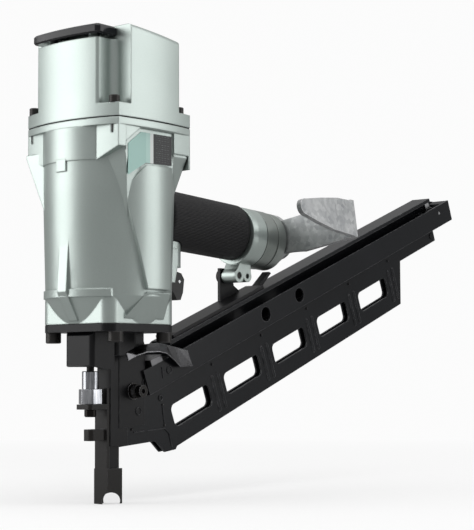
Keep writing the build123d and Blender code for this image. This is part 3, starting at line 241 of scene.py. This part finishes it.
def ribbed_grip():
    """Soft grip with fine broken ribs that run along the handle, with painted shade darkening the rib
    valleys.
    """
    ribs_per_radian = 110.0
    waver = 5.0
    mat, tree, shader = new_material("ribbed_grip", Specular_IOR_Level=0.3)
    local = coords(tree, turn=(0, -HANDLE_SLOPE, 0), shift=(0, 0, -HANDLE_Z))
    axes = add(tree, "SeparateXYZ", {"Vector": local})
    around = calc(tree, "ARCTAN2", axes.outputs["Y"], axes.outputs["Z"])
    broken = noise(tree, 1.0, 3.0, 0.6, coords(tree, (120.0, 700.0, 700.0)))
    steady = calc(tree, "MULTIPLY", around, ribs_per_radian)
    phase = calc(tree, "ADD", steady, calc(tree, "MULTIPLY", broken, waver))
    wave = spread(tree, calc(tree, "SINE", phase), 0.0, 1.0, -1.0, 1.0)
    height = calc(tree, "MULTIPLY", wave, spread(tree, broken, 0.5, 1.0))
    # painted shade: the base colour is darker in the rib valleys and lighter on the rib tops
    tone = ramp(tree, height, ((0.0, (0.006, 0.006, 0.007)), (1.0, (0.030, 0.029, 0.030))))
    tree.links.new(tone, shader.inputs["Base Color"])
    tree.links.new(spread(tree, height, 0.75, 0.5), shader.inputs["Roughness"])
    relief(tree, shader, height, 0.0005, 0.6, 0.0012)
    return mat


def label_print():
    """Printed label: mint field darkened over its first part as painted shade, pale strip, and a dark
    panel with broken rules and no lettering.
    """
    strip_start = 0.496
    panel_start = 0.570
    rules_start = 0.63
    rules_end = 0.94
    low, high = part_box("rating_label")
    mat, tree, shader = new_material("label_sheet", Specular_IOR_Level=0.45)
    place = add(tree, "TexCoord")
    axes = add(tree, "SeparateXYZ", {"Vector": place.outputs["Object"]})
    across = spread(tree, axes.outputs["X"], 0.0, 1.0, low[0], high[0])
    flat = add(tree, "CombineXYZ", {"X": axes.outputs["X"], "Y": axes.outputs["Z"]})
    rules = add(
        tree,
        "TexBrick",
        {
            "Vector": flat.outputs["Vector"],
            "Color1": (0.10, 0.11, 0.11, 1),
            "Color2": (0.035, 0.038, 0.038, 1),
            "Mortar": (0.010, 0.011, 0.012, 1),
            "Scale": 1.0,
            "Mortar Size": 0.0006,
            "Mortar Smooth": 0.1,
            "Brick Width": 0.0034,
            "Row Height": 0.0017,
        },
        offset=0.37,
        squash=0.6,
    )
    margin = ramp(
        tree,
        across,
        ((0.0, (0, 0, 0)), (rules_start, (1, 1, 1)), (rules_end, (0, 0, 0))),
        "CONSTANT",
    )
    # the mint print is darker up to 0.40 across: painted shade standing in for the curve of the label
    field = ramp(
        tree,
        across,
        (
            (0.0, (0.42, 0.66, 0.60)),
            (0.40, (0.50, 0.73, 0.67)),
            (strip_start, (0.80, 0.84, 0.82)),
            (panel_start, (0.012, 0.013, 0.014)),
        ),
        "CONSTANT",
    )
    tone = blend_colour(tree, margin, field, rules.outputs["Color"])
    tree.links.new(tone, shader.inputs["Base Color"])
    tree.links.new(spread(tree, noise(tree, 300.0), 0.28, 0.4), shader.inputs["Roughness"])
    return mat


def mottled_zinc():
    """Galvanised sheet: crystal patches over a slow mottle, and edges painted bright as wear and as
    highlight.
    """
    mat, tree, shader = new_material("galvanised_sheet", Metallic=0.85)
    crystal = add(tree, "TexVoronoi", {"Vector": coords(tree), "Scale": 260.0}, feature="F1")
    shade = add(tree, "SeparateColor", {"Color": crystal.outputs["Color"]}).outputs["Red"]
    mottle = calc(tree, "MULTIPLY", noise(tree, 55.0, 6.0, 0.7), 0.8)
    patch = calc(tree, "ADD", calc(tree, "MULTIPLY", shade, 0.35), mottle)
    tone = ramp(tree, patch, ((0.25, (0.30, 0.31, 0.32)), (0.85, (0.56, 0.57, 0.57))))
    # edges painted pale: partly worn zinc and partly painted highlight
    tone = blend_colour(tree, edges(tree, 0.0009), tone, (0.75, 0.76, 0.76))
    tree.links.new(tone, shader.inputs["Base Color"])
    tree.links.new(spread(tree, patch, 0.52, 0.36), shader.inputs["Roughness"])
    relief(tree, shader, patch, 0.0003, 0.12, 0.0006)
    return mat


# the adjuster is plated above this height and blackened below it, in metres
ADJUSTER_SPLIT_Z = 0.0796
SPLIT_BLUR = 0.0002


def stepped_chrome(split_z):
    """Bright plating above a level, blackened below it."""
    mat, tree, shader = new_material("bright_plating", Metallic=1.0)
    place = add(tree, "TexCoord")
    height = add(tree, "SeparateXYZ", {"Vector": place.outputs["Object"]}).outputs["Z"]
    bright = spread(tree, height, 0.0, 1.0, split_z - SPLIT_BLUR, split_z + SPLIT_BLUR)
    streaks = noise(tree, 1.0, 3.0, 0.6, coords(tree, (420.0, 420.0, 40.0)))
    tone = ramp(tree, streaks, ((0.35, (0.26, 0.27, 0.29)), (0.65, (0.62, 0.63, 0.66))))
    tone = blend_colour(tree, bright, (0.02, 0.018, 0.017), tone)
    tree.links.new(tone, shader.inputs["Base Color"])
    tree.links.new(spread(tree, noise(tree, 500.0), 0.10, 0.22), shader.inputs["Roughness"])
    relief(tree, shader, noise(tree, 900.0), FINE_DEPTH, 0.06, 0.0008)
    return mat


MATERIALS = {
    "housing_paint": silver_paint(),
    "label_print": label_print(),
    "gasket_rubber": rubber("gasket", (0.010, 0.010, 0.010), (0.020, 0.020, 0.020), (0.6, 0.75)),
    "deflector_black": black_coat(
        "gloss_black",
        (0.004, 0.004, 0.006),
        (0.007, 0.007, 0.010),
        rough=(0.10, 0.18),
        level=0.22,
        edge_wear_and_highlight=0.12,
        gloss=0.25,
    ),
    "dark_fastener": black_coat(
        "black_fastener",
        (0.018, 0.017, 0.016),
        (0.040, 0.038, 0.036),
        rough=(0.30, 0.45),
        level=0.5,
        edge_wear_and_highlight=0.22,
        grain=900.0,
        edge=0.0006,
        metal=0.6,
    ),
    "liner_alloy": bare_metal(
        "machined_alloy", (0.55, 0.56, 0.56), (0.66, 0.67, 0.67), rough=(0.22, 0.34)
    ),
    "bright_steel": bare_metal(
        "ground_steel", (0.50, 0.51, 0.52), (0.66, 0.67, 0.68), rough=(0.20, 0.32)
    ),
    "bumper_rubber": rubber("bumper", (0.016, 0.014, 0.012), (0.028, 0.026, 0.022), (0.6, 0.75)),
    "valve_plastic": black_coat(
        "black_moulding", (0.008, 0.009, 0.010), (0.014, 0.015, 0.016), rough=(0.35, 0.5)
    ),
    "spring_steel": bare_metal("wire", (0.28, 0.28, 0.29), (0.42, 0.43, 0.44), rough=(0.25, 0.35)),
    "black_steel": black_coat(
        "satin_black",
        (0.004, 0.004, 0.005),
        (0.007, 0.007, 0.008),
        rough=(0.30, 0.45),
        level=0.25,
        edge_wear_and_highlight=0.10,
    ),
    "foot_steel": black_coat(
        "brown_black",
        (0.007, 0.006, 0.005),
        (0.013, 0.011, 0.010),
        rough=(0.32, 0.46),
        level=0.3,
        edge_wear_and_highlight=0.12,
    ),
    "zinc_bright": bare_metal(
        "bright_zinc", (0.42, 0.43, 0.44), (0.60, 0.61, 0.62), rough=(0.14, 0.26)
    ),
    "trigger_black": black_coat(
        "trigger_moulding",
        (0.010, 0.010, 0.010),
        (0.018, 0.018, 0.018),
        rough=(0.3, 0.45),
        level=0.4,
        edge_wear_and_highlight=0.05,
    ),
    "grip_rubber": ribbed_grip(),
    "end_cap_paint": bare_metal(
        "cast_end",
        (0.27, 0.30, 0.28),
        (0.38, 0.41, 0.39),
        rough=(0.34, 0.5),
        grain=500.0,
        patch=24.0,
        edge=0.0012,
    ),
    "hook_steel": mottled_zinc(),
    "magazine_black": black_coat(
        "magazine_coat",
        (0.0040, 0.0047, 0.0062),
        (0.0066, 0.0075, 0.0095),
        rough=(0.24, 0.36),
        level=0.24,
        edge_wear_and_highlight=0.20,
        grain=1100.0,
        edge=0.0010,
    ),
    "feeder_steel": bare_metal(
        "feeder_metal", (0.10, 0.10, 0.105), (0.2, 0.2, 0.205), rough=(0.25, 0.4)
    ),
}
bright_plating = stepped_chrome(ADJUSTER_SPLIT_Z)
# the rims are painted pale: partly rubbed wear and partly painted highlight
rimmed_black = black_coat(
    "rimmed_black",
    (0.010, 0.009, 0.008),
    (0.020, 0.018, 0.017),
    rough=(0.22, 0.34),
    level=0.5,
    edge_wear_and_highlight=0.55,
    grain=900.0,
    edge=0.0005,
    metal=0.7,
)
# the lever's edges are painted light grey: partly rubbed wear and partly painted highlight
polished_black = black_coat(
    "polished_black",
    (0.09, 0.09, 0.094),
    (0.16, 0.16, 0.165),
    rough=(0.12, 0.2),
    level=0.5,
    edge_wear_and_highlight=0.85,
    grain=500.0,
    edge=0.0009,
    metal=1.0,
)

slot_of = {part["node"]: part["material_slot"] for part in record["subparts"]}
for name, obj in nodes.items():
    for slot in obj.material_slots:
        slot.material = MATERIALS[slot_of[name]]
for name in ("adjuster_nut", "adjuster_sleeve"):
    nodes[name].material_slots[0].material = bright_plating
for name in ("magazine_screw", "screw_spring"):
    nodes[name].material_slots[0].material = rimmed_black

# ================= feeder lever =================
# stations from the nose end to the wing: upper edge x and z, then lower edge x, y and z, in millimetres
LEVER_STATIONS = (
    ((4.5, 120.0), (5.4, -16.5, 113.6)),
    ((15.0, 124.6), (15.0, -17.5, 117.8)),
    ((25.0, 127.2), (25.0, -18.5, 120.4)),
    ((43.0, 128.6), (40.0, -19.0, 121.0)),
    ((52.0, 127.4), (49.0, -19.0, 119.6)),
    ((61.0, 126.0), (60.0, -17.0, 114.2)),
    ((66.0, 125.2), (69.9, -14.8, 108.8)),
    ((79.0, 123.1), (85.3, -14.6, 109.6)),
)
LEVER_TOP_Y = -14.6
LEVER_THICK = 1.5
LEVER_ROUNDING = 0.5


def in_metres(*place):
    """Millimetres to metres."""
    return tuple(value / MM_PER_METRE for value in place)


def thumb_lever():
    """Sprung thumb lever outside the magazine, pressed from one glossy plate."""
    verts = []
    for (top_x, top_z), (low_x, low_y, low_z) in LEVER_STATIONS:
        verts.append(in_metres(top_x, LEVER_TOP_Y, top_z))
        verts.append(in_metres(low_x, low_y, low_z))
    faces = [(2 * i, 2 * i + 1, 2 * i + 3, 2 * i + 2) for i in range(len(LEVER_STATIONS) - 1)]
    mesh = bpy.data.meshes.new("thumb_lever")
    mesh.from_pydata(verts, [], faces)
    obj = bpy.data.objects.new("thumb_lever", mesh)
    bpy.context.scene.collection.objects.link(obj)
    shell = obj.modifiers.new("shell", "SOLIDIFY")
    shell.thickness = LEVER_THICK / MM_PER_METRE
    shell.offset = 0.0
    rounding = obj.modifiers.new("rounding", "BEVEL")
    rounding.width = LEVER_ROUNDING / MM_PER_METRE
    rounding.segments = 2
    rounding.limit_method = "ANGLE"
    mesh.materials.append(polished_black)
    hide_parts("feeder_lever")
    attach(obj, "feeder")


thumb_lever()

# ================= pressed marks on the near magazine plate =================
# the faces that the marks stand on, and the marks' places and sizes, in millimetres
PLATE_FACE_Y = -4.1
BAND_FACE_Y = -10.6
CHEEK_FACE_Y = -8.3
BEAD_RADIUS = 0.6
RING_POINTS = 24
# x, face, z and radius of each ring
RINGS = (
    (26.1, CHEEK_FACE_Y, 73.1, 3.0),
    (57.1, PLATE_FACE_Y, 83.2, 2.2),
    (60.8, BAND_FACE_Y, 106.4, 3.0),
    (33.6, CHEEK_FACE_Y, 96.0, 3.0),
)
# face of each ridge, and the x and z of its points
RIDGES = (
    (PLATE_FACE_Y, ((25.2, 55.9), (61.9, 57.9), (67.4, 53.6), (71.1, 42.4))),
    (PLATE_FACE_Y, ((59.5, 75.9), (61.9, 62.1))),
    (BAND_FACE_Y, ((51.3, 108.9), (53.1, 99.8))),
)
# x and z of each stud
STUDS = ((22.6, 58.2), (59.5, 77.4), (61.9, 60.6))
STUD_RADIUS = 1.1


def plate_beads():
    """Raised rings and ridges pressed into the plate, as one bevelled curve."""
    curve = bpy.data.curves.new("plate_beads", "CURVE")
    curve.dimensions = "3D"
    curve.bevel_depth = BEAD_RADIUS / MM_PER_METRE
    curve.bevel_resolution = 2
    curve.use_fill_caps = True
    paths = [(face, points, False) for face, points in RIDGES]
    for x, face, z, radius in RINGS:
        turns = [2 * pi * i / RING_POINTS for i in range(RING_POINTS)]
        paths.append((face, [(x + radius * cos(a), z + radius * sin(a)) for a in turns], True))
    for face, points, closed in paths:
        spline = curve.splines.new("POLY")
        spline.points.add(len(points) - 1)
        for point, (x, z) in zip(spline.points, points):
            point.co = (*in_metres(x, face, z), 1.0)
        spline.use_cyclic_u = closed
    curve.materials.append(MATERIALS["magazine_black"])
    obj = bpy.data.objects.new("plate_beads", curve)
    bpy.context.scene.collection.objects.link(obj)
    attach(obj, "frame")


def plate_stud(index, x, z):
    """Small round stud, half sunk in the plate."""
    bpy.ops.mesh.primitive_uv_sphere_add(
        segments=16,
        ring_count=8,
        radius=STUD_RADIUS / MM_PER_METRE,
        location=in_metres(x, PLATE_FACE_Y, z),
    )
    obj = bpy.context.object
    obj.name = f"plate_stud_{index}"
    obj.data.materials.append(rimmed_black)
    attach(obj, "frame")


plate_beads()
for stud_index, (stud_x, stud_z) in enumerate(STUDS):
    plate_stud(stud_index, stud_x, stud_z)

# ================= floor and studio =================
BACK_WHITE = 0.97
FLOOR_SIZE = 60
FLOOR_Z = -0.0002
# share of white in the floor near the tool, and the distances over which it rises to all, in metres
SWEEP_NEAR = 0.55
SWEEP_START = 0.2
SWEEP_END = 1.2


def grey(level):
    """Grey of a given level."""
    return (level, level, level)


def pale_floor():
    """Pale sweep that runs out to the backdrop; the tool reflects a darker floor than the camera sees."""
    bpy.ops.mesh.primitive_plane_add(size=FLOOR_SIZE, location=(0, 0, FLOOR_Z))
    floor = bpy.context.object
    floor.name = "stage_floor"
    mat, tree, shader = new_material("pale_floor", Roughness=0.9, Specular_IOR_Level=0.1)
    tone = ramp(tree, noise(tree, 3.0), ((0.0, grey(0.93)), (1.0, grey(0.96))))
    seen = add(tree, "LightPath").outputs["Is Camera Ray"]
    tone = blend_colour(tree, seen, grey(0.50), tone)
    tree.links.new(tone, shader.inputs["Base Color"])
    place = add(tree, "TexCoord")
    reach = add(tree, "VectorMath", {0: place.outputs["Object"]}, operation="LENGTH").outputs["Value"]
    far = spread(tree, reach, SWEEP_NEAR, 1.0, SWEEP_START, SWEEP_END)
    sweep = blend_colour(tree, seen, grey(0.35), grey(BACK_WHITE))
    white = add(tree, "Emission", {"Color": sweep})
    mix = add(tree, "MixShader", {0: far, 1: shader.outputs["BSDF"], 2: white.outputs["Emission"]})
    tree.links.new(mix.outputs["Shader"], tree.nodes["Material Output"].inputs["Surface"])
    floor.data.materials.append(mat)


def studio_world():
    """White to the camera; a dim, top-heavy room in what the tool reflects."""
    world = bpy.data.worlds.new("studio")
    bpy.context.scene.world = world
    world.use_nodes = True
    tree = world.node_tree
    place = add(tree, "TexCoord")
    height = add(tree, "SeparateXYZ", {"Vector": place.outputs["Generated"]}).outputs["Z"]
    room = ramp(
        tree,
        spread(tree, height, 0.0, 1.0, -1.0, 1.0),
        ((0.45, grey(0.22)), (0.58, grey(0.34)), (1.0, grey(0.70))),
    )
    seen = add(tree, "LightPath").outputs["Is Camera Ray"]
    tone = blend_colour(tree, seen, room, grey(BACK_WHITE))
    tree.links.new(tone, tree.nodes["Background"].inputs["Color"])


pale_floor()
studio_world()
bpy.context.scene.view_settings.view_transform = "Standard"

# ================= camera =================
CAMERA_TURN = radians(50.19)
CAMERA_LIFT = radians(4.2)
CAMERA_ROLL = radians(0.26)
CAMERA_PLACE = Vector((-0.85204, -0.84530, 0.10308))
SENSOR_MM = 36.0
LENS_MM = 100.569057

level_way = Vector((sin(CAMERA_TURN), cos(CAMERA_TURN), 0.0))
straight_up = Vector((0.0, 0.0, 1.0))
forward = level_way * cos(CAMERA_LIFT) + straight_up * sin(CAMERA_LIFT)
right = Vector((cos(CAMERA_TURN), -sin(CAMERA_TURN), 0.0))
up = straight_up * cos(CAMERA_LIFT) - level_way * sin(CAMERA_LIFT)
camera_right = cos(CAMERA_ROLL) * right - sin(CAMERA_ROLL) * up
camera_up = sin(CAMERA_ROLL) * right + cos(CAMERA_ROLL) * up
cam_data = bpy.data.cameras.new("camera")
cam = bpy.data.objects.new("camera", cam_data)
bpy.context.scene.collection.objects.link(cam)
turned = Matrix((camera_right, camera_up, -forward)).transposed()
cam.matrix_world = Matrix.Translation(CAMERA_PLACE) @ turned.to_4x4()
cam_data.sensor_width = SENSOR_MM
cam_data.lens = LENS_MM
cam_data.clip_start = 0.05
bpy.context.scene.camera = cam


LIGHT_AIM = Vector((0.1, 0.0, 0.2))


def area_light(name, turn, lift, distance, size, glow):
    """Soft box aimed at the tool: turn and lift in degrees from the camera, glow is its radiance."""
    level = -forward * cos(radians(turn)) + right * sin(radians(turn))
    away = level * cos(radians(lift)) + straight_up * sin(radians(lift))
    light = bpy.data.lights.new(name, "AREA")
    light.shape = "RECTANGLE"
    light.size, light.size_y = size
    light.energy = glow * pi * size[0] * size[1]
    obj = bpy.data.objects.new(name, light)
    bpy.context.scene.collection.objects.link(obj)
    obj.location = LIGHT_AIM + away * distance
    obj.rotation_euler = (LIGHT_AIM - obj.location).to_track_quat("-Z", "Y").to_euler()


area_light("left_soft", -78, 12, 1.3, (0.9, 1.3), 2.3)
area_light("right_soft", 82, 16, 1.5, (0.8, 1.3), 1.8)
area_light("top_soft", 10, 75, 1.4, (1.6, 1.2), 1.6)
